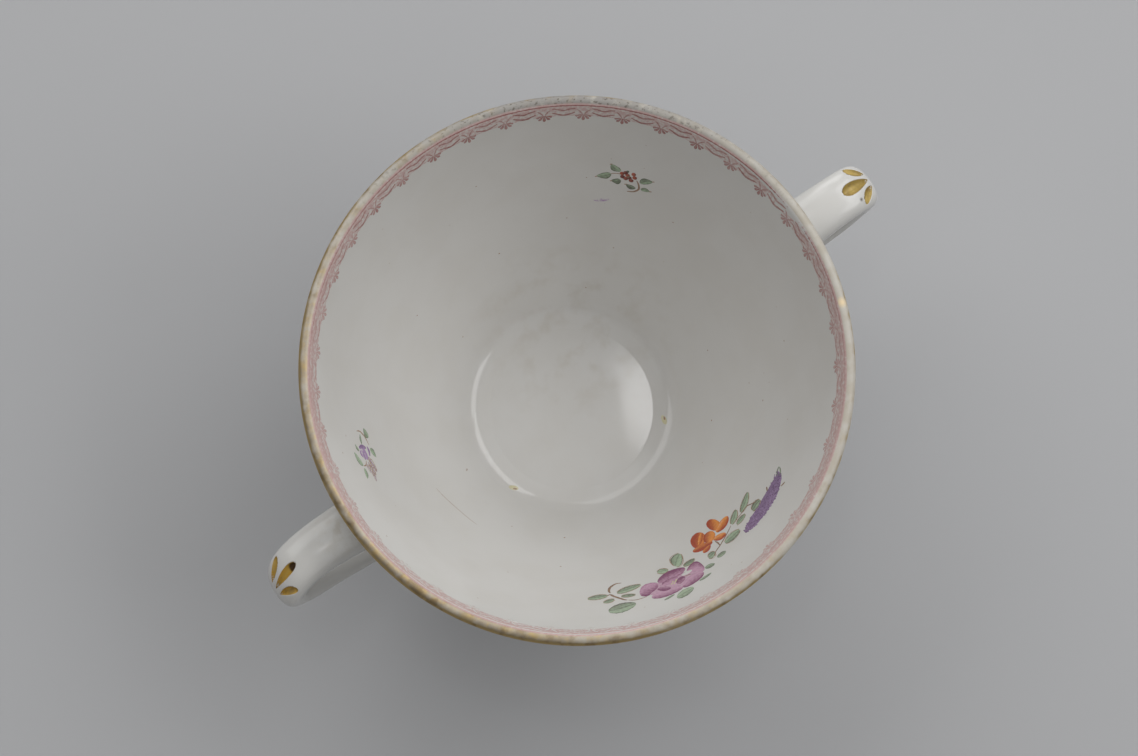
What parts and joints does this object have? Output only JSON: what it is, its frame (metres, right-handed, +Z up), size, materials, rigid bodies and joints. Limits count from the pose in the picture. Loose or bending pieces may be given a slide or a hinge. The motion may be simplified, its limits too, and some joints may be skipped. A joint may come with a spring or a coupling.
{
  "type": "two-handled porcelain cup",
  "caption": "Round glazed porcelain cup for a hot drink, flaring from a turned foot ring to a gilded lip, with ear-shaped handles on opposite sides.",
  "frame": {"origin": "centre of the foot ring's underside", "axes": "+Z up along the cup's axis, +X through the middle of the right handle"},
  "size_m": [0.1242, 0.092, 0.058],
  "materials": {
    "glaze": "gloss",
    "slip": "gloss",
    "foot_paste": "satin"
  },
  "bodies": {
    "root": {"bowl": "glaze", "foot_ring": "foot_paste", "foot_slip": "slip", "handle_right": "glaze", "handle_left": "glaze", "upper_slip_right": "slip", "lower_slip_right": "slip", "upper_slip_left": "slip", "lower_slip_left": "slip"}
  },
  "joints": []
}
